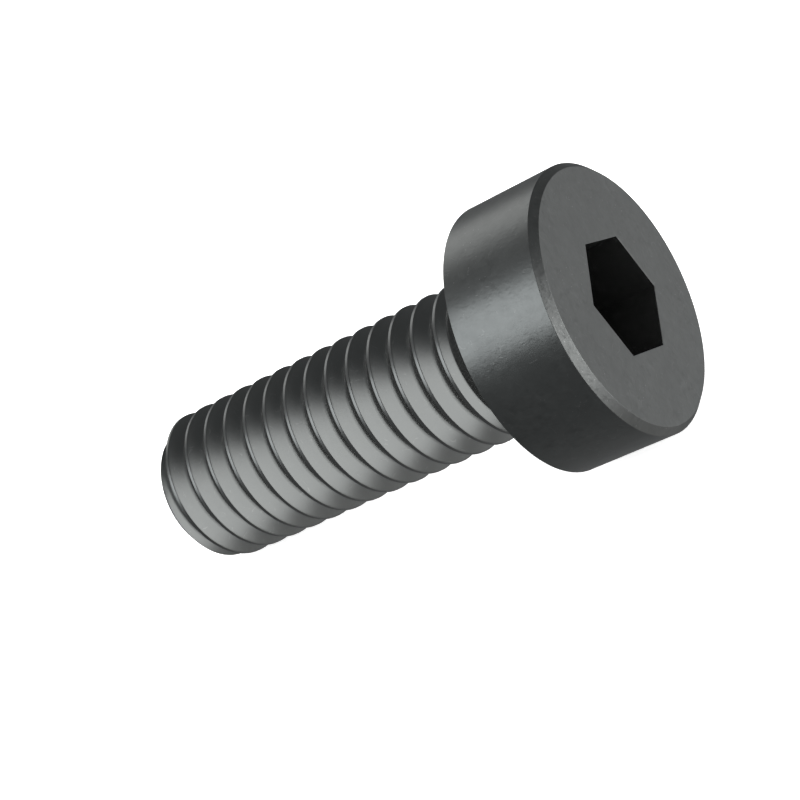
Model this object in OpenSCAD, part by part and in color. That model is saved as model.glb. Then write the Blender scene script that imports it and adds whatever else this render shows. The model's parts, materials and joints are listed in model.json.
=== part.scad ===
// Low head socket cap screw, M6 x 16, black steel, threaded up to its head.
// The screw is one piece, forged and then rolled. It is shaped upright about its own axis,
// with the bearing face under the head at z = 0, the head above it and the thread below.
// Then it is laid down, head towards +X, on the rim of its head and the crest near its tip.

/* [Head] */
// Diameter of the low cylindrical head
head_d = 9.9; // [9:0.05:12]
// Height of the head above its bearing face
head_h = 3.8; // [3.5:0.05:5]
// Width of the 45 degree chamfer round the top of the head
head_chamfer = 0.25; // [0.05:0.05:0.6]

/* [Hexagon socket] */
// Width across the flats of the socket
socket_af = 4.02; // [3:0.01:5]
// Depth of the straight hexagon walls
socket_depth = 2.8; // [1.6:0.05:3]
// Full angle of the shallow cone at the bottom of the socket
socket_cone = 150; // [120:1:170]
// Turn of the hexagon about the axis
socket_turn = 0; // [0:1:59]

/* [Neck] */
// Diameter of the plain neck under the head
neck_d = 5.12; // [5:0.02:5.6]
// Length of the neck, with its fillet and the cone at its lower end, where the groove runs out
neck_h = 2.1; // [1.7:0.05:2.5]
// Radius of the fillet between the neck and the bearing face
neck_fillet = 0.45; // [0.1:0.05:0.6]

/* [Thread] */
// Length from the bearing face to the tip
length = 16; // [10:0.5:25]
// Diameter over the crests of the thread
thread_d = 5.84; // [5.7:0.01:6]
// Distance from one turn to the next
pitch = 1; // [0.75:0.05:1.25]
// Angle about the axis where a crest meets the plane of the tip
thread_turn = 239; // [0:1:359]
// Distance from the bearing face to where the crest runs out into the neck
runout_h = 0.9; // [0.7:0.05:1.2]
// How far the chamfer at the tip reaches below the root of the thread
tip_margin = 0.03; // [0.02:0.01:0.6]
// Number of straight steps in one turn
thread_steps = 48; // [24:4:60]

/* [Hidden] */
$fn = 96;
steel = "#5a5d5e";

// The thread's flanks lean 30 degrees each. Its flat crest takes an eighth of the pitch, as on
// any metric thread, and the flat root stands for a rounded one.
flank_angle = 30;
crest_w = pitch / 8;
root_w = pitch / 6;
flank_w = (pitch - crest_w - root_w) / 2;
thread_h = flank_w / tan(flank_angle);
crest_r = thread_d / 2;
root_r = crest_r - thread_h;
tip_r = root_r - tip_margin;

// The threaded rod starts at the tip and ends inside the neck. Its run-out cone is a little
// narrower than the neck where it ends.
head_r = head_d / 2;
neck_r = neck_d / 2;
runout_step = 0.04;
rod_low = -length;
rod_high = -runout_h / 2;
runout_r = neck_r - runout_step - (rod_high + runout_h);

// Each turn has four corners: the lower root, both edges of the crest, and the upper root.
// Two spare turns run past the ends of the rod, where they fold flat onto its end faces.
turn_corners = 4;
spare_turns = 2;
turns = ceil((rod_high - rod_low) / pitch) + spare_turns;
rows = turn_corners * turns;
columns = thread_steps;

// Room between the root's cylinder and the 45 degree cones of the tip and of the run-out
function tip_room(z) = tip_r - root_r + z - rod_low;
function runout_room(z) = runout_r - root_r + rod_high - z;

// A corner on the root, which follows the cones where they cut below it
function root_corner(z) =
    let (z_in = max(rod_low, min(rod_high, z)))
    [root_r + min(0, tip_room(z_in), runout_room(z_in)), z_in];

// A corner that climbs a flank from a root at height z, as far as both cones leave room.
// way is 1 where the crest lies above that root, and -1 where it lies below.
function crest_corner(z, way) =
    let (tip_share = tip_room(z) / (thread_h - way * flank_w))
    let (runout_share = runout_room(z) / (thread_h + way * flank_w))
    let (climb = max(0, min(1, tip_share, runout_share)))
    climb == 0
        ? root_corner(z)
        : [root_r + climb * thread_h, z + way * climb * flank_w];

// Radius and height of one corner, counted along the axis from the low end of a column.
// The column's first crest is centred at height start.
function corner(start, row) =
    let (z_crest = start + floor(row / turn_corners) * pitch)
    let (z_below = z_crest - crest_w / 2 - flank_w)
    let (z_above = z_crest + crest_w / 2 + flank_w)
    let (step = row % turn_corners)
    step == 0 ? root_corner(z_below)
    : step == 1 ? crest_corner(z_below, 1)
    : step == 2 ? crest_corner(z_above, -1)
    : root_corner(z_above);

// The crest climbs by one pitch in one turn counter-clockwise, so the thread is right-handed
function start_at(angle) =
    rod_low - spare_turns * pitch + (angle - thread_turn) / 360 * pitch;

function place(point, angle) = [point[0] * cos(angle), point[0] * sin(angle), point[1]];

thread_points = [
    for (column = [0 : columns - 1])
        let (angle = thread_turn + 360 * column / columns)
        for (row = [0 : rows - 1])
            place(corner(start_at(angle), row), angle)
];

// Past the last column comes the first one again, whose corners are counted a turn later
function index(column, row) =
    column < columns
        ? column * rows + row
        : min(rows - 1, row + turn_corners);

thread_sides = [
    for (column = [0 : columns - 1])
        for (row = [0 : rows - 2])
            let (here = index(column, row))
            let (across = index(column + 1, row + 1))
            for (side = [0, 1])
                side == 0
                    ? [here, index(column, row + 1), across]
                    : [here, across, index(column + 1, row)]
];
tip_face = [for (column = [0 : columns - 1]) index(column, 0)];
top_face = [for (column = [columns - 1 : -1 : 0]) index(column, rows - 1)];

module thread() {
    polyhedron(points = thread_points, faces = concat(thread_sides, [tip_face, top_face]));
}

// Half section of the head and neck, with the fillet between them. The cone at the neck's
// lower end starts a little inside the root of the thread.
module head_section() {
    fillet_r = neck_r + neck_fillet;
    into_head = head_h / 2;
    cone_r = root_r - runout_step;
    cone_h = neck_r - cone_r;
    difference() {
        union() {
            polygon([
                [0, 0],
                [head_r, 0],
                [head_r, head_h - head_chamfer],
                [head_r - head_chamfer, head_h],
                [0, head_h]
            ]);
            polygon([
                [0, -neck_h],
                [cone_r, -neck_h],
                [neck_r, cone_h - neck_h],
                [neck_r, into_head],
                [0, into_head]
            ]);
            translate([0, -neck_fillet])
                square([fillet_r, neck_fillet + into_head]);
        }
        translate([fillet_r, -neck_fillet])
            circle(r = neck_fillet);
    }
}

// The hexagon, open at the top, with a shallow cone below its floor
module socket() {
    mouth = 1;
    floor_z = head_h - socket_depth;
    cone_r = socket_af / 2;
    cone_h = cone_r / tan(socket_cone / 2);
    translate([0, 0, floor_z])
        rotate([0, 0, socket_turn])
            cylinder(h = socket_depth + mouth, r = cone_r / cos(30), $fn = 6);
    translate([0, 0, floor_z - cone_h])
        cylinder(h = cone_h, r1 = 0, r2 = cone_r);
}

// The screw lies down until the first thread corner on its underside meets the straight
// line from the rim of the head. The underside is at angle 0 before it is laid down.
lie_angle = min([
    for (row = [0 : rows - 1])
        let (foot = corner(start_at(360), row))
        atan((head_r - foot[0]) / -foot[1])
]);

module screw() {
    color(steel)
        rotate([0, 90 - lie_angle, 0])
            difference() {
                union() {
                    rotate_extrude()
                        head_section();
                    thread();
                }
                socket();
            }
}

screw();
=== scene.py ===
# %% [markdown]
# # A black steel cap screw on a pale table
# The object is one low head socket cap screw, about 20 mm long: a short round head with a
# hexagon socket, and a thread that runs up to the head. It is one piece of alloy steel,
# forged at the head, rolled at the thread and then blackened. The CAD model already has its
# true size and lies in its true place. This lesson gives it the look of the real one: edges
# that are a little rounded, a satin black finish, and the light of a small studio.

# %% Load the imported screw
import json
import math

import bmesh
import bpy
import numpy as np
from mathutils import Matrix, Vector


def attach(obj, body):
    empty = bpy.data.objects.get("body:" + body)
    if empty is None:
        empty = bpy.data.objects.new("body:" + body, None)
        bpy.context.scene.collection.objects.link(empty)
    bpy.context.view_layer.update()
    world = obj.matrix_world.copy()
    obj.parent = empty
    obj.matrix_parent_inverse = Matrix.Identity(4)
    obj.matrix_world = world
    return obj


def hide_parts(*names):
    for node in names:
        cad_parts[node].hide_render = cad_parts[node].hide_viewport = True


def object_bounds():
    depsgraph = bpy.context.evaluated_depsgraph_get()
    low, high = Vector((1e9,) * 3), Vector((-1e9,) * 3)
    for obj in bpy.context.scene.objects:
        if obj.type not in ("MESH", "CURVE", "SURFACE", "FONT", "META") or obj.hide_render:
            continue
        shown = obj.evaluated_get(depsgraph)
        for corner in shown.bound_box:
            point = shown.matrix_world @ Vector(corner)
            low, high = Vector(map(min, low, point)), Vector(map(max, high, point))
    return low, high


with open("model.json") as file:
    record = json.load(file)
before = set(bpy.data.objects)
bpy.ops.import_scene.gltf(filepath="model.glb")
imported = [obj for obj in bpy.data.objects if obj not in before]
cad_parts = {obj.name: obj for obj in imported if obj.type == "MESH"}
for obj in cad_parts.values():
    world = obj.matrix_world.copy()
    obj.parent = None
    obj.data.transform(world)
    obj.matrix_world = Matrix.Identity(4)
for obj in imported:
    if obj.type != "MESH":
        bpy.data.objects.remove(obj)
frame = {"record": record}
cad_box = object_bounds()
print("CAD box, mm:", [[round(1000 * value, 3) for value in corner] for corner in cad_box])

# %% [markdown]
# ## The screw's own frame
# A screw is simplest to describe standing on its own axis: z = 0 is the bearing face under
# the head, the head is above it and the thread below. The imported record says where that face
# is and which way it looks, so the axis is read from there, and one matrix lays the finished
# mesh down. Typing the angle a second time would work too, until the CAD model changes.

# %% Lay the screw's own frame down where the CAD model lies
bearing_face = next(m for m in frame["record"]["mounts"] if m["name"] == "bearing_face")
along_axis = -Vector(bearing_face["axis"]).normalized()
across = Vector((0, 1, 0))
to_underside = across.cross(along_axis).normalized()
lay_down = Matrix((to_underside, across, along_axis)).transposed().to_4x4()
lay_down.translation = Vector(bearing_face["pos_m"])
MM = 0.001
print("The axis rises by", round(math.degrees(math.asin(along_axis.z)), 2), "degrees")

# %% [markdown]
# ## Rings about the axis
# Nearly every surface of a screw is turned, so the mesh is built from rings: each ring has
# the same number of points, and each is joined to the next. A modifier such as Screw or Spin
# could turn a half section too, but rings in code let one ring be a hexagon and the next one
# a circle, and they can carry a number for wear. The count divides by six, so that the
# corners of the hexagon fall on points of the ring.

# %% A ring of points
RING_POINTS = 144
ring_angle = np.arange(RING_POINTS) * 2 * math.pi / RING_POINTS


def ring(radius, height):
    """Points round the axis. The radius is one number, or one for each point."""
    radius = np.zeros(RING_POINTS) + radius
    height = np.zeros(RING_POINTS) + height
    return np.stack([radius * np.cos(ring_angle), radius * np.sin(ring_angle), height], 1)


print("Each ring has", RING_POINTS, "points")

# %% [markdown]
# ## Rounded corners
# No edge of a real screw is perfectly sharp. Tumbling and blackening leave even a crisp edge
# with a radius of a hundredth of a millimetre or so, and that radius is what catches the light
# as a thin line. A Bevel modifier would round every edge alike. Here each corner of the half
# section gets an arc of its own radius instead.

# %% An arc in place of a corner
ARC_STEPS = 4


def arc_at(before, corner, after, radius):
    """Points of an arc that touches both sides of a corner of the half section."""
    before, corner, after = (np.array(point, float) for point in (before, corner, after))
    back = (before - corner) / np.linalg.norm(before - corner)
    on = (after - corner) / np.linalg.norm(after - corner)
    half = math.acos(float(back @ on)) / 2
    centre = corner + (back + on) / np.linalg.norm(back + on) * radius / math.sin(half)
    first = corner + back * radius / math.tan(half) - centre
    last = corner + on * radius / math.tan(half) - centre
    turn = math.atan2(first[0] * last[1] - first[1] * last[0], float(first @ last))
    points = []
    for step in range(ARC_STEPS + 1):
        angle = turn * step / ARC_STEPS
        c, s = math.cos(angle), math.sin(angle)
        points.append(centre + (c * first[0] - s * first[1], s * first[0] + c * first[1]))
    return points


print("Each arc has", ARC_STEPS + 1, "points")

# %% [markdown]
# ## The head
# The head is low: 3.8 mm high on a 9.9 mm diameter, with a narrow 45 degree chamfer round its
# top. Smooth shading blends the light between one ring and the next. So a ring that lies
# exactly on the flat, the chamfer or the cylinder runs close beside each arc, which keeps the
# large surfaces even and the worn edge narrow. Without it a light line shows on the chamfer.

# %% The half section from the top face to the neck
HEAD_R, HEAD_H, CHAMFER = cad_box[1].y / MM, 3.8, 0.25
NECK_R, FILLET = 2.56, 0.45
NECK_LOW, TOP_INNER_R, BEARING_STEP = -0.6, 3.9, 0.5
# Distance of a guard ring from its arc, radii of the rounded edges, and how worn they are
EDGE_GUARD, EDGE_R, RIM_R, EDGE_RUB = 0.02, 0.015, 0.006, 0.12
CHAMFER_SHARES = (0.03, 0.5, 0.95)

rim = (HEAD_R - CHAMFER, HEAD_H)
shoulder = (HEAD_R, HEAD_H - CHAMFER)
lower_edge = (HEAD_R, 0)
neck_corner = (NECK_R, 0)
neck_end = (NECK_R, NECK_LOW)
top_start = (TOP_INNER_R, HEAD_H)

# Each entry: radius and height of a ring, and how much of its finish has rubbed away
head_rings = [(*top_start, 0), (rim[0] - EDGE_GUARD, HEAD_H, 0)]
head_rings += [(*p, EDGE_RUB) for p in arc_at(top_start, rim, shoulder, RIM_R)]
for share in CHAMFER_SHARES:
    head_rings += [(rim[0] + share * CHAMFER, rim[1] - share * CHAMFER, EDGE_RUB)]
head_rings += [(*p, EDGE_RUB) for p in arc_at(rim, shoulder, lower_edge, EDGE_R)]
head_rings += [(HEAD_R, shoulder[1] - EDGE_GUARD, 0), (HEAD_R, EDGE_GUARD + EDGE_R, 0)]
head_rings += [(*p, EDGE_RUB) for p in arc_at(shoulder, lower_edge, neck_corner, EDGE_R)]
head_rings += [(HEAD_R - EDGE_GUARD - EDGE_R, 0, 0)]
head_rings += [(HEAD_R - BEARING_STEP, 0, 0), (HEAD_R - 2 * BEARING_STEP, 0, 0)]
head_rings += [(*p, 0) for p in arc_at(lower_edge, neck_corner, neck_end, FILLET)]
head_rings += [(*neck_end, 0)]
print("The head and neck take", len(head_rings), "rings")

# %% [markdown]
# ## The hexagon socket
# The socket is punched in a drilled hole: straight walls, a crisp mouth, and the shallow cone
# of the drill at the bottom. A boolean cut would leave long thin faces round the mouth. Here
# the wall, the mouth and the floor are rings again, and their radius follows a hexagon.

# %% A hexagon as a ring
HALF_ACROSS_FLATS, SOCKET_DEPTH, FLOOR_CONE = 2.01, 2.8, 150
MOUTH_R, FLOOR_IN, CONE_SHARE = 0.01, 0.04, 0.4


def hexagon(half_across_flats):
    """The ring radius that makes six flat sides, with a corner at angle 0."""
    from_middle = np.mod(ring_angle, math.pi / 3) - math.pi / 6
    return half_across_flats / np.cos(from_middle)


floor_z = HEAD_H - SOCKET_DEPTH
floor_r = HALF_ACROSS_FLATS - FLOOR_IN
cone_depth = floor_r / math.tan(math.radians(FLOOR_CONE / 2))
socket_rings = [(0, floor_z - cone_depth, 0)]
socket_rings += [(CONE_SHARE * floor_r, floor_z - (1 - CONE_SHARE) * cone_depth, 0)]
socket_rings += [(floor_r, floor_z, 0)]
socket_rings += [(hexagon(HALF_ACROSS_FLATS), floor_z, 0)]
socket_rings += [(hexagon(HALF_ACROSS_FLATS), HEAD_H - 2 * MOUTH_R, 0)]
for step in range(ARC_STEPS):
    lean = math.radians(90 * step / (ARC_STEPS - 1))
    out, up = MOUTH_R * (1 - math.cos(lean)), MOUTH_R * math.sin(lean)
    socket_rings += [(hexagon(HALF_ACROSS_FLATS + out), HEAD_H - MOUTH_R + up, 0)]
socket_rings += [(hexagon(HALF_ACROSS_FLATS + MOUTH_R + EDGE_GUARD), HEAD_H, 0)]
across_corners = 2 * float(hexagon(HALF_ACROSS_FLATS).max())
print("Across the corners the socket is", round(across_corners, 2), "mm")

# %% [markdown]
# ## The thread
# The thread is the part of this screw that takes the most skill. It is a right-hand thread of
# 1 mm pitch: flanks that lean 30 degrees, a narrow flat crest and a rounded root, on one
# helix. A Screw modifier could turn a profile, but it can't end the thread in a cone. Here
# every column of points follows the helix by its own height, so the crest and the root always
# lie on points, and one formula gives the radius anywhere: the thread, cut down by the cone
# at the tip and by the run-out cone under the head. A smooth minimum rounds the edges where
# they meet. The groove starts a little shallower, so that it never cuts the flat end.

# %% The sizes of the thread
CREST_R, PITCH, CREST_W, ROOT_W, FLANK_DEG = 2.92, 1.0, 1 / 8, 1 / 6, 30
LENGTH, CREST_AT_TIP_DEG, TIP_R, RUNOUT_H = 16.0, 239, 2.35, 0.94
STEEPNESS = 1 / math.tan(math.radians(FLANK_DEG))
flank_w = (PITCH - CREST_W - ROOT_W) / 2
root_r = CREST_R - flank_w * STEEPNESS
print("Root diameter", round(2 * root_r, 3), "mm")
print("Thread height", round(CREST_R - root_r, 3), "mm")

# %% The radius of the threaded rod anywhere
# How much shallower the groove starts, how far from the head its floor begins to rise, and
# the turns that run past each end of the rod
START_FADE, GROOVE_END, SPARE_TURNS = 0.06, 2.1, 2
CREST_SOFT, ROOT_SOFT, CUT_SOFT = 0.025, 0.06, 0.03


def smooth_min(a, b, width):
    """The lower of two heights, with the corner between them rounded over a width."""
    near = np.maximum(width - np.abs(a - b), 0) / width
    return np.minimum(a, b) - near**2 * width / 4


def crest_height(angle):
    """Height of the first crest, some spare turns below the tip, at an angle in radians."""
    turned = (np.degrees(angle) - CREST_AT_TIP_DEG) / 360
    return -LENGTH + (turned - SPARE_TURNS) * PITCH


def rod_radius(angle, height):
    """Radius of the threaded rod at any angle and height."""
    turns = (height - crest_height(angle)) / PITCH
    from_crest = np.abs(turns - np.round(turns)) * PITCH
    flank = CREST_R - (from_crest - CREST_W / 2) * STEEPNESS
    radius = smooth_min(CREST_R, flank, CREST_SOFT)
    first_turn = np.clip(1 - (height + LENGTH) / PITCH, 0, 1)
    radius = -smooth_min(-root_r - START_FADE * first_turn, -radius, ROOT_SOFT)
    radius = smooth_min(radius, TIP_R + height + LENGTH, CUT_SOFT)
    radius = smooth_min(radius, NECK_R - RUNOUT_H - height, CUT_SOFT)
    neck = np.minimum(NECK_R, root_r + height + GROOVE_END)
    return np.maximum(radius, neck)


half_way = rod_radius(ring_angle, -LENGTH / 2)
lowest, highest = round(float(half_way.min()), 3), round(float(half_way.max()), 3)
print("Half way along the rod the radius goes from", lowest, "to", highest, "mm")

# %% [markdown]
# ## The grid of the thread
# The points stand close together at the two edges of the crest, in the root and where a
# flank meets the neck, and further apart on the straight flanks. The grid starts just above
# the end of the screw, where its edge is rounded, and ends at the neck. Points that would
# run past either end are held on it, and are merged there afterwards. Where the cone at the
# tip cuts a flank, the ridge between them runs across the grid. In each column the nearest
# point is moved onto it, and so is the one that was nearest a column before, so that edges
# follow the whole ridge. Otherwise the outline of the tip would show notches.

# %% Heights of the thread's points, column by column
END_IN, TIP_EDGE = 0.015, 0.02
end_z = -LENGTH + END_IN
rod_low, rod_high = end_z + TIP_EDGE, neck_end[1]
# Heights of points above the middle of a crest, up to the next root
steps_up = [0.04, 0.05, 0.057, CREST_W / 2, 0.068, 0.077, 0.1, 0.16, 0.22, 0.25, 0.27, 0.34]
steps_up += [0.385, 0.415, 0.45]
one_turn = [-PITCH / 2] + [-step for step in reversed(steps_up)] + [0] + steps_up
turn_points = len(one_turn)
turns = math.ceil((rod_high - rod_low) / PITCH) + 2 * SPARE_TURNS
offsets = np.array([turn * PITCH + step for turn in range(turns) for step in one_turn])

column_angle = ring_angle[:, None]
rod_height = np.clip(crest_height(column_angle) + offsets[None, :], rod_low, rod_high)
print("The thread has", turns - 2 * SPARE_TURNS, "turns of", turn_points, "points")

# %% Move the nearest points onto the ridge at the tip
for turn in range(turns):
    flank_top = crest_height(ring_angle) + turn * PITCH + CREST_W / 2
    # Height at which the tip's cone is as wide as the flank above this turn's crest
    cut = (CREST_R - TIP_R - LENGTH + STEEPNESS * flank_top) / (1 + STEEPNESS)
    row_before = None
    for column in np.flatnonzero((cut > rod_low + TIP_EDGE) & (cut > flank_top)):
        nearest = np.argmin(np.abs(rod_height[column] - cut[column]))
        rod_height[column, nearest] = cut[column]
        if row_before is not None:
            rod_height[column, row_before] = cut[column]
        row_before = nearest
rod_r = rod_radius(column_angle, rod_height)
rod_points = np.stack(
    [rod_r * np.cos(column_angle), rod_r * np.sin(column_angle), rod_height], 2
)
rod_rubbed = (rod_r > CREST_R - CREST_SOFT / 2).astype(float)
print("Points on a crest:", int(rod_rubbed.sum()), "of", rod_rubbed.size)

# %% [markdown]
# ## The flat end
# The end of the screw is a flat disc inside its chamfer, with a small rounding between them.
# The disc is a little wider than the one in the CAD model, so it lies 0.015 mm further in,
# which keeps the whole screw inside the CAD model's box.

# %% The rings of the end
end_r = rod_radius(ring_angle, np.full(RING_POINTS, rod_low))
EDGE_SHARE, END_INNER_R = 0.3, 1.2
end_rings = [(end_r, rod_low, 0)]
end_rings += [(end_r - EDGE_SHARE * TIP_EDGE, end_z + EDGE_SHARE * TIP_EDGE, 0)]
end_rings += [(end_r - TIP_EDGE, end_z, 0), (end_r - TIP_EDGE - EDGE_GUARD, end_z, 0)]
end_rings += [(END_INNER_R, end_z, 0), (0, end_z, 0)]
print("The flat end is", round(2 * float(end_r.max()), 2), "mm across inside its chamfer")

# %% [markdown]
# ## One closed skin
# The rings and the grid are joined into one mesh. Where a ring shrinks to a point, or the
# helix runs out against an end, several points fall together, so they are merged and the
# faces that vanish go with them. A closed skin has exactly two faces at every edge, and that
# is worth checking, because a crack would show as a black line in a reflection.

# %% Join the rings of the socket and the head
skin_points, skin_faces, rubbed = [], [], []


def add_points(points, rub):
    first = sum(len(block) for block in skin_points)
    skin_points.append(points)
    rubbed.append(rub)
    return first


def join_rings(rings):
    """Adds rings, each joined to the next by a band of four-sided faces."""
    points = np.concatenate([ring(radius, height) for radius, height, _ in rings])
    rub = np.repeat([amount for _, _, amount in rings], RING_POINTS)
    first = add_points(points, rub)
    for index in range(len(rings) - 1):
        for k in range(RING_POINTS):
            here = first + index * RING_POINTS
            there = here + RING_POINTS
            on = (k + 1) % RING_POINTS
            skin_faces.append((here + k, here + on, there + on, there + k))


join_rings(socket_rings + head_rings)
print("The socket, the head and the neck have", len(skin_faces), "faces")


# %% Join the grid of the thread and the rings of the end
def join_rod():
    """Adds the grid of the thread. Past the last column comes the first, one turn higher."""
    rows = len(offsets)
    first = add_points(rod_points.reshape(-1, 3), rod_rubbed.reshape(-1))
    for k in range(RING_POINTS):
        last_column = k == RING_POINTS - 1
        here = first + k * rows
        there = first if last_column else here + rows
        lift = turn_points if last_column else 0
        for row in range(rows - 1):
            low, high = min(row + lift, rows - 1), min(row + 1 + lift, rows - 1)
            skin_faces.append((here + row, here + row + 1, there + high, there + low))


join_rod()
join_rings(end_rings)
print("The whole skin has", len(skin_faces), "faces before merging")

# %% [markdown]
# ## Painted shade in sheltered places
# Deep in the socket, close under the head and in the root of the thread, the steel faces
# mostly other steel, so these places are dark in the photograph. Letting the render trace it
# would darken the flanks of the thread as well, which are bright in the photograph. So the
# screw is left out of its own reflections further on, and each point carries a number for
# the shade that is painted into its colour instead. Another number tells the forged head and
# neck from the thread, which comes out of its rolling dies much smoother.

# %% How much painted shade each point gets
# Over how much of the radius the painted shade darkens the neck and the root, and between
# which heights the groove counts as part of the neck. Then how dark the painted shade gets,
# how much of the tip's roots stays light, and over what length the painted shade sets in.
NECK_DARKENS, ROOT_DARKENS, PAINTED_SHADE_LOW, PAINTED_SHADE_HIGH = 0.04, 0.08, -1.9, -0.95
NECK_PAINTED_SHADE, ROOT_PAINTED_SHADE, TIP_OPEN, FADE_W = 0.92, 0.88, 0.2, 0.3


def fades_in(values, middle, width):
    """Rises from 0 to 1 over a width round a middle value, so that no step shows."""
    return np.clip((values - middle) / width + 0.5, 0, 1)


own_points = np.concatenate(skin_points)
own_r, own_z = np.hypot(own_points[:, 0], own_points[:, 1]), own_points[:, 2]
in_socket = (own_z > 0) & (own_r < (across_corners + MOUTH_R) / 2)
socket_painted_shade = np.clip((HEAD_H - MOUTH_R - own_z) / MOUTH_R, 0, 1) * in_socket
below_head = (own_z < EDGE_GUARD) & (own_r < HEAD_R - BEARING_STEP + MOUTH_R)
near_head = fades_in(own_z, PAINTED_SHADE_HIGH, FADE_W)
past_thread = fades_in(own_z, PAINTED_SHADE_LOW, FADE_W)
in_groove = np.clip((NECK_R + NECK_DARKENS - own_r) / NECK_DARKENS, 0, 1)
neck_painted_shade = np.maximum(in_groove * past_thread, near_head) * below_head
on_thread = fades_in(own_z, -LENGTH + TIP_OPEN, FADE_W) * (1 - past_thread)
root_painted_shade = np.clip((root_r + ROOT_DARKENS - own_r) / ROOT_DARKENS, 0, 1) * on_thread
# Painted shade: the socket, the neck and the thread's roots are darkened in the colour in place
# of traced shade
painted_shade = np.maximum(socket_painted_shade, NECK_PAINTED_SHADE * neck_painted_shade)
painted_shade = np.maximum(painted_shade, ROOT_PAINTED_SHADE * root_painted_shade)
print("Points in painted shade:", int((painted_shade > 0.5).sum()), "of", len(painted_shade))

# %% [markdown]
# ## From points to one mesh
# The points and faces become a mesh, and the numbers for wear, painted shade and forging travel
# on its points as attributes, which the material can read. Points less than 0.002 mm apart are
# merged, which closes the ends of the thread. Then the screw is laid down from its own axis
# to where the CAD model lies. Turning the mesh itself, rather than the object, leaves the
# object's own coordinates equal to the real ones, so the finish is measured in millimetres.

# %% Make the mesh, merge what falls together and lay it down
MERGE, FORGED_BELOW_NECK = 0.002 * MM, 0.5
skin = bpy.data.meshes.new("cap_screw")
skin.from_pydata((own_points * MM).tolist(), [], skin_faces)
forged = own_z > rod_high - FORGED_BELOW_NECK
# The painted shade number darkens the colour in place of real shade; wear and forging belong to
# the steel itself
carried_numbers = {"rubbed": np.concatenate(rubbed), "painted_shade": painted_shade, "forged": forged}
for name, values in carried_numbers.items():
    carried = skin.attributes.new(name, "FLOAT", "POINT")
    carried.data.foreach_set("value", values.astype(np.float32))

build = bmesh.new()
build.from_mesh(skin)
bmesh.ops.remove_doubles(build, verts=build.verts, dist=MERGE)
build.transform(lay_down)
bmesh.ops.recalc_face_normals(build, faces=build.faces)
open_edges = sum(len(edge.link_faces) != 2 for edge in build.edges)
build.to_mesh(skin)
build.free()
print(len(skin.polygons), "faces,", open_edges, "edges without two faces")

# %% [markdown]
# ## Smooth shading
# Smooth shading blends the light across faces that lie on one curved surface. The walls of
# the hexagon meet at 60 degrees and should stay crisp, so edges sharper than 35 degrees are
# left hard.

# %% Shade the skin and tie it to the frame
SHARP_ABOVE = math.radians(35)
skin.shade_smooth()
skin.set_sharp_from_angle(angle=SHARP_ABOVE)
cap_screw = bpy.data.objects.new("cap_screw", skin)
bpy.context.scene.collection.objects.link(cap_screw)
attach(cap_screw, "root")
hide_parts("screw")
cap_screw.visible_glossy = False
triangles = sum(len(face.vertices) - 2 for face in skin.polygons)
print("The screw is", round(triangles / 1000), "thousand triangles")

# %% [markdown]
# ## The black steel
# Black oxide is a thin dark skin grown on the steel itself. It isn't paint: it keeps the
# metal's shine, only darker and a little cold, and every mark of forging and handling shows
# through. So the material is a metal with a dark colour and a satin roughness. Its detail
# comes from noise in the object's own millimetres, so each mark has a real size.

# %% A new material, and a helper that adds nodes to it
steel = bpy.data.materials.new("black_steel")
steel.use_nodes = True
nodes, links = steel.node_tree.nodes, steel.node_tree.links
nodes.clear()


def node(kind, inputs=None, **settings):
    """Adds one node. Each input is given a value, or is linked from another node's output."""
    made = nodes.new(kind)
    for name, value in settings.items():
        setattr(made, name, value)
    for name, value in (inputs or {}).items():
        if isinstance(value, bpy.types.NodeSocket):
            links.new(value, made.inputs[name])
        else:
            made.inputs[name].default_value = value
    return made


def scaled(vector, factor):
    """A vector or colour, times a number."""
    inputs = {0: vector, "Scale": factor}
    return node("ShaderNodeVectorMath", inputs, operation="SCALE").outputs[0]


in_mm = scaled(node("ShaderNodeTexCoord").outputs["Object"], 1 / MM)
print("The finish starts from", [n.bl_label for n in nodes])

# %% [markdown]
# ## Marks in the finish
# Seen close, the blackened skin has several scales of detail: soft clouds a millimetre or two
# wide and a finer mottle, where the bath bit a little more or less; strokes and fine marks
# a tenth or two of a millimetre wide, a little longer along the screw, left by forging; and
# a few hairlines and bright specks. The strokes and marks are mostly relief, so they show
# where the light changes and vanish where it is even, as in the photograph, and the
# smoother thread has hardly any. A hairline is the thin line where smooth noise crosses its
# middle value, shown only inside a patchy mask, which gives short, curved, separate
# scratches.

# %% Where the marks are strong, and where they are faint
ON_THREAD = 0.3


def carried_number(name):
    """A number that the mesh carries on its points."""
    return node("ShaderNodeAttribute", attribute_name=name).outputs["Fac"]


def between(value, low, high, to_low=0.0, to_high=1.0):
    """Stretches the part of a value that lies between low and high."""
    inputs = {"Value": value, "From Min": low, "From Max": high}
    inputs.update({"To Min": to_low, "To Max": to_high})
    return node("ShaderNodeMapRange", inputs).outputs["Result"]


forged_map = carried_number("forged")
fainter_on_thread = between(forged_map, 0, 1, ON_THREAD, 1)
print("On the thread the larger marks keep", ON_THREAD, "of their strength")

# %% Clouds and mottle
CLOUDS_PER_MM, MOTTLE_PER_MM = 0.55, 2.4


def noise(per_mm, detail=2.0, shift=0.0, long=1.0):
    """Soft noise from 0 to 1 with so many lumps in a millimetre, longer along the screw."""
    place = node(
        "ShaderNodeMapping",
        {"Vector": in_mm, "Location": (shift, shift, shift), "Scale": (long, 1, 1)},
        vector_type="TEXTURE",
    ).outputs[0]
    inputs = {"Vector": place, "Scale": per_mm, "Detail": detail}
    return node("ShaderNodeTexNoise", inputs).outputs["Fac"]


def math_node(operation, first, second=0.0, third=0.0, clamp=False):
    inputs = {0: first, 1: second, 2: third}
    return node("ShaderNodeMath", inputs, operation=operation, use_clamp=clamp).outputs[0]


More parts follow.
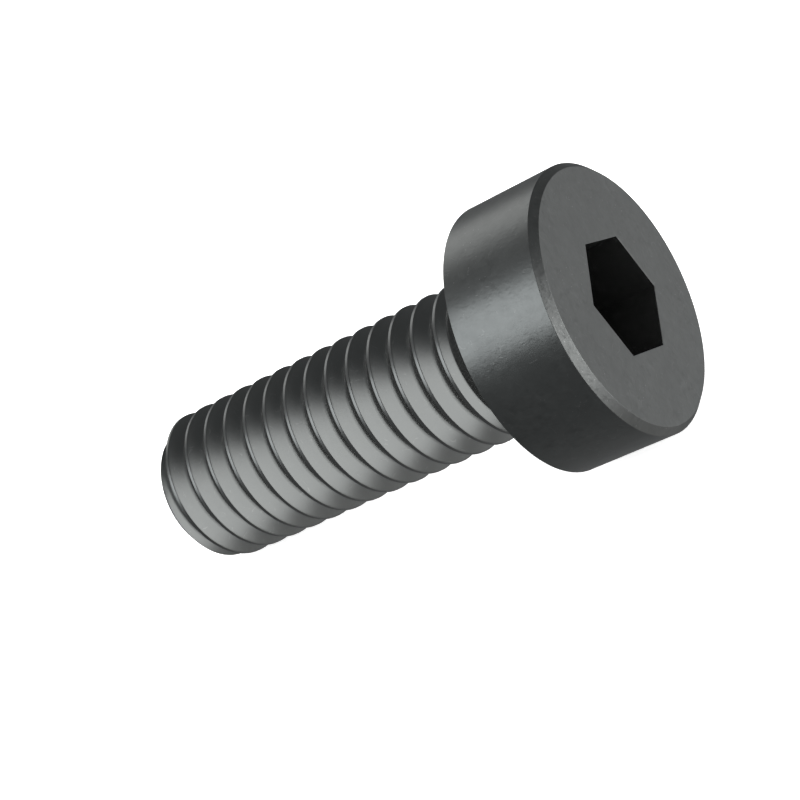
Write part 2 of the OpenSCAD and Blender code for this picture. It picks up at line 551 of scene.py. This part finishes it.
def times(first, second):
    return math_node("MULTIPLY", first, second)


clouds = times(between(noise(CLOUDS_PER_MM, detail=3), 0.3, 0.7, -1, 1), fainter_on_thread)
mottle = times(between(noise(MOTTLE_PER_MM, shift=83), 0.35, 0.65, -1, 1), forged_map)
print("With clouds and mottle there are", len(nodes), "nodes")

# %% Strokes and fine marks, in patches
STROKES_PER_MM, FINE_PER_MM, PATCHES_PER_MM = (3.8, 4.2), 7.5, 0.7
STROKE_LONG, FINE_LONG = 1.3, 1.5
pale_strokes = between(noise(STROKES_PER_MM[0], 1, 11, STROKE_LONG), 0.55, 0.7)
dark_strokes = between(noise(STROKES_PER_MM[1], 1, 53, STROKE_LONG), 0.55, 0.67)
stroke_patches = between(noise(PATCHES_PER_MM, 1, shift=41), 0.4, 0.62, 0.15, 1)
strokes = times(math_node("SUBTRACT", pale_strokes, dark_strokes), stroke_patches)
strokes = times(strokes, fainter_on_thread)
fine_marks = between(noise(FINE_PER_MM, 1, 29, FINE_LONG), 0.45, 0.7, -0.5, 1)
fine_patches = between(noise(PATCHES_PER_MM, 1, shift=71), 0.4, 0.56, 0.2, 1)
fine_marks = times(times(fine_marks, fine_patches), forged_map)
print("With strokes and fine marks there are", len(nodes), "nodes")

# %% Hairlines and specks
# How much finer the mask is than the lines, and over how much of its value it sets in
MASK_FINER, MASK_EDGE, SPECKS_PER_MM = 1.7, 0.04, 5.0


def hairlines(per_mm, shift, width, mask_from):
    """Thin curved lines, shown where a patchy mask rises above a value."""
    from_middle = math_node("SUBTRACT", noise(per_mm, detail=0.5, shift=shift), 0.5)
    line = between(math_node("ABSOLUTE", from_middle), 0, width, 1, 0)
    mask = noise(per_mm * MASK_FINER, detail=1, shift=shift + 5)
    return times(line, between(mask, mask_from, mask_from + MASK_EDGE))


scratches = math_node("MAXIMUM", hairlines(1.5, 3, 0.010, 0.60), hairlines(2.4, 31, 0.014, 0.64))
speck_inputs = {"Vector": in_mm, "Scale": SPECKS_PER_MM}
speck_cells = node("ShaderNodeTexVoronoi", speck_inputs).outputs["Distance"]
specks = between(speck_cells, 0.05, 0.11, 1, 0)
print("With hairlines and specks there are", len(nodes), "nodes")

# %% [markdown]
# ## Worn edges
# Where a screw is handled, tumbled and tightened, the edges of its head and the crests of its
# thread lose some of the black first. The mesh carries that as a number on its points, and
# noise breaks it up, so that an edge is a little brighter in some places than in others.

# %% Rubbed edges
WEAR_PER_MM, SPECK_PATCHES_PER_MM = 3.0, 0.5
edge_map = carried_number("rubbed")
rubbed_edges = times(edge_map, between(noise(WEAR_PER_MM, 3, shift=17), 0.35, 0.65, 0.6, 1))
speck_patches = between(noise(SPECK_PATCHES_PER_MM, 1, shift=7), 0.53, 0.6)
speck_places = math_node("MAXIMUM", between(edge_map, 0, EDGE_RUB), speck_patches)
specks = times(specks, times(speck_places, forged_map))
print("With the worn edges there are", len(nodes), "nodes")

# %% [markdown]
# ## From black oxide to bare steel
# The colour is a mix: black oxide where the skin is whole, bare steel where it is worn or
# scratched. Clouds, mottle and strokes change its lightness by a few per cent. The painted
# shade number then darkens it, and takes the metal's mirror away, so that steel in painted
# shade doesn't show the lights. The relief is bump and not geometry, because marks of a few
# thousandths of a millimetre are far too fine for the mesh.

# %% The colour
OXIDE, BARE_STEEL = (0.155, 0.161, 0.158), (0.36, 0.36, 0.355, 1)
LIGHT_IN_PAINTED_SHADE, CREST_WORN, SCRATCHES_BARE, SPECKS_BARE = 0.045, 0.14, 0.2, 0.7


def sum_of(start, layers):
    """Adds layers to a start value, each times its own share."""
    total = start
    for layer, share in layers:
        total = math_node("MULTIPLY_ADD", layer, share, total)
    return total


lightness = sum_of(1, [(clouds, 0.03), (mottle, 0.035), (strokes, 0.09), (fine_marks, -0.03)])
oxide_colour = scaled(OXIDE, lightness)
marks = math_node("MAXIMUM", times(scratches, SCRATCHES_BARE), times(specks, SPECKS_BARE))
worn = math_node("MAXIMUM", times(rubbed_edges, CREST_WORN), marks, clamp=True)
colour = node(
    "ShaderNodeMix",
    {"Factor": worn, 6: oxide_colour, 7: BARE_STEEL},
    data_type="RGBA",
).outputs[2]
# Painted shade: the socket, the neck and the thread's roots are darkened in the colour
painted_shade_map = carried_number("painted_shade")
colour = scaled(colour, between(painted_shade_map, 0, 1, 1, LIGHT_IN_PAINTED_SHADE))
print("With the colour there are", len(nodes), "nodes")

# %% Roughness, relief and the finished material
SATIN, BUMP_STRENGTH, BUMP_HEIGHT = 0.34, 0.35, 0.006 * MM
roughness = sum_of(SATIN, [(clouds, 0.02), (strokes, 0.015)])
relief = sum_of(0, [(strokes, 0.25), (fine_marks, 0.5), (scratches, -0.6)])
bump = node(
    "ShaderNodeBump", {"Height": relief, "Strength": BUMP_STRENGTH, "Distance": BUMP_HEIGHT}
).outputs["Normal"]
# Painted shade also takes the metal's mirror away
metallic_outside_painted_shade = between(painted_shade_map, 0, 1, 1, 0)
finish = node(
    "ShaderNodeBsdfPrincipled",
    {"Base Color": colour, "Metallic": metallic_outside_painted_shade, "Specular IOR Level": 0.0,
     "Roughness": roughness, "Normal": bump},
)
node("ShaderNodeOutputMaterial", {"Surface": finish.outputs[0]})
skin.materials.append(steel)
print("The finish has", len(nodes), "nodes")

# %% [markdown]
# ## The camera
# The photograph shows the screw floating, with its thread running down to the left. A screw
# at rest lies on its rim and its thread, so the camera takes the same view of it from the
# front right and above, and is rolled about its own axis to bring the thread to the same
# slope. The lens is long, as for a product photograph, so the head is hardly larger than it
# would be without perspective.

# %% Place the camera
AZIMUTH, ELEVATION, ROLL, DISTANCE, LENS = 33.457, 26.547, 33.371, 78.938 * MM, 98.997
SENSOR_WIDTH, CLIP_NEAR, CLIP_FAR = 36, 5 * MM, 3
looked_at = Vector((-6.035, -0.053, -0.808)) * MM


def towards(azimuth, elevation):
    """The direction from the screw to something at an azimuth and an elevation in degrees."""
    a, e = math.radians(azimuth), math.radians(elevation)
    return Vector((math.sin(a) * math.cos(e), -math.cos(a) * math.cos(e), math.sin(e)))


backwards = towards(AZIMUTH, ELEVATION)
level_right = Vector((0, 0, 1)).cross(backwards).normalized()
level_up = backwards.cross(level_right)
roll = math.radians(ROLL)
camera_up = level_up * math.cos(roll) + level_right * math.sin(roll)
camera_right = level_right * math.cos(roll) - level_up * math.sin(roll)
camera_data = bpy.data.cameras.new("camera")
camera_data.sensor_width = SENSOR_WIDTH
camera_data.lens = LENS
camera_data.clip_start, camera_data.clip_end = CLIP_NEAR, CLIP_FAR
camera = bpy.data.objects.new("camera", camera_data)
camera.matrix_world = Matrix((camera_right, camera_up, backwards)).transposed().to_4x4()
camera.location = looked_at + backwards * DISTANCE
bpy.context.scene.collection.objects.link(camera)
bpy.context.scene.camera = camera
camera_height = (camera.location.z - cad_box[0].z) / MM
print("The camera stands", round(camera_height, 1), "mm above the table")

# %% [markdown]
# ## The table
# The photograph's background is plain white. A large pale sweep stands in for it: a table
# that curves up into a wall on every side, far enough away to have no edge near the screw.
# In the photograph the dark steel reflects no white table, only the soft lights round it, so
# the sweep is left out of reflections.

# %% A pale sweep with no corner
FLAT_R, SWEEP_R, SWEEP_BEND, SWEEP_TOP, BEND_STEPS = 0.15, 0.30, 0.15, 0.55, 12
table_z = cad_box[0].z
sweep_section = [(0, 0), (FLAT_R, 0), (SWEEP_R, 0)]
for step in range(1, BEND_STEPS + 1):
    bend = math.radians(90 * step / BEND_STEPS)
    out, up = SWEEP_BEND * math.sin(bend), SWEEP_BEND * (1 - math.cos(bend))
    sweep_section += [(SWEEP_R + out, up)]
sweep_section += [(SWEEP_R + SWEEP_BEND, SWEEP_TOP)]
sweep_rings = [ring(radius, height + table_z) for radius, height in sweep_section]
sweep_points = np.concatenate(sweep_rings)
sweep_faces = [
    (i * RING_POINTS + k, i * RING_POINTS + (k + 1) % RING_POINTS,
     (i + 1) * RING_POINTS + (k + 1) % RING_POINTS, (i + 1) * RING_POINTS + k)
    for i in range(1, len(sweep_section) - 1)
    for k in range(RING_POINTS)
]
sweep_faces += [tuple(reversed(range(RING_POINTS, 2 * RING_POINTS)))]
sweep_mesh = bpy.data.meshes.new("table_sweep")
sweep_mesh.from_pydata(sweep_points.tolist(), [], sweep_faces)
sweep_mesh.shade_smooth()
table_sweep = bpy.data.objects.new("table_sweep", sweep_mesh)
bpy.context.scene.collection.objects.link(table_sweep)
table_sweep.visible_glossy = False
table_sweep.visible_shadow = False
print("The table is at", round(table_z / MM, 2), "mm")

# %% Its pale finish
TABLE_WHITE, TABLE_ROUGH, TABLE_GLOW = (0.8, 0.8, 0.8, 1), 0.9, 0.72
pale = bpy.data.materials.new("pale_table")
pale.use_nodes = True
pale_finish = pale.node_tree.nodes["Principled BSDF"]
pale_finish.inputs["Base Color"].default_value = TABLE_WHITE
pale_finish.inputs["Roughness"].default_value = TABLE_ROUGH
pale_finish.inputs["Specular IOR Level"].default_value = 0.0
pale_finish.inputs["Emission Color"].default_value = (1, 1, 1, 1)
pale_finish.inputs["Emission Strength"].default_value = TABLE_GLOW
sweep_mesh.materials.append(pale)
print("The table glows with", TABLE_GLOW, "of white")

# %% [markdown]
# ## The lights
# Polished or satin metal shows its lights more than its own colour, so lighting it means
# placing shapes for it to reflect. The bands on the head tell where they stood: a round light
# at the front left, a wide one at the right, a weaker one behind on the left, and dim glows
# low behind the head, below it and high on the left. Everything else round the screw is dim
# grey. Each light is a soft panel that only reflections see, and one more above lights the
# table.

# %% Soft panels for the steel to reflect
PANEL_DISTANCE = 0.5
middle = (cad_box[0] + cad_box[1]) / 2


def panel(name, azimuth, elevation, wide, high, radiance, tint=(1, 1, 1)):
    """A soft panel that covers so many degrees of the view from the screw."""
    light = bpy.data.lights.new(name, "AREA")
    light.shape = "ELLIPSE"
    light.size = 2 * PANEL_DISTANCE * math.tan(math.radians(wide / 2))
    light.size_y = 2 * PANEL_DISTANCE * math.tan(math.radians(high / 2))
    light.color = tint
    light.energy = radiance * math.pi * (math.pi / 4 * light.size * light.size_y)
    made = bpy.data.objects.new(name, light)
    outwards = towards(azimuth, elevation)
    made.location = middle + outwards * PANEL_DISTANCE
    made.rotation_mode = "QUATERNION"
    made.rotation_quaternion = outwards.to_track_quat("Z", "Y")
    bpy.context.scene.collection.objects.link(made)
    made.visible_camera = False
    return made


# Each entry: name, azimuth, elevation, width and height in degrees, and radiance
reflected = (
    panel("front_left_panel", -47, 34.6, 40, 38, 2.4, (0.97, 1.0, 1.02)),
    panel("right_panel", 86.5, 0.5, 63, 65, 2.65),
    panel("back_left_panel", -136, 33, 44, 28, 1.2, (1.0, 1.0, 0.99)),
    panel("low_back_panel", 140, -28, 60, 50, 0.42),
    panel("low_panel", 92, -57, 90, 60, 0.255, (1.03, 1.0, 0.98)),
    panel("low_left_panel", -105, -62, 60, 44, 0.045, (1.03, 1.0, 0.98)),
    panel("high_left_panel", -92, 48, 50, 44, 0.11),
)
for light in reflected:
    light.visible_diffuse = False
print("Reflected panels:", len(reflected))

# %% A light for the table, and a dim room
ROOM_GREY = (0.175, 0.18, 0.184, 1)
table_light = panel("table_light", 0, 90, 70, 70, 2.0)
table_light.visible_glossy = False

world = bpy.data.worlds.new("dim_room")
bpy.context.scene.world = world
world.use_nodes = True
world.node_tree.nodes["Background"].inputs["Color"].default_value = ROOM_GREY
bpy.context.scene.view_settings.view_transform = "Standard"
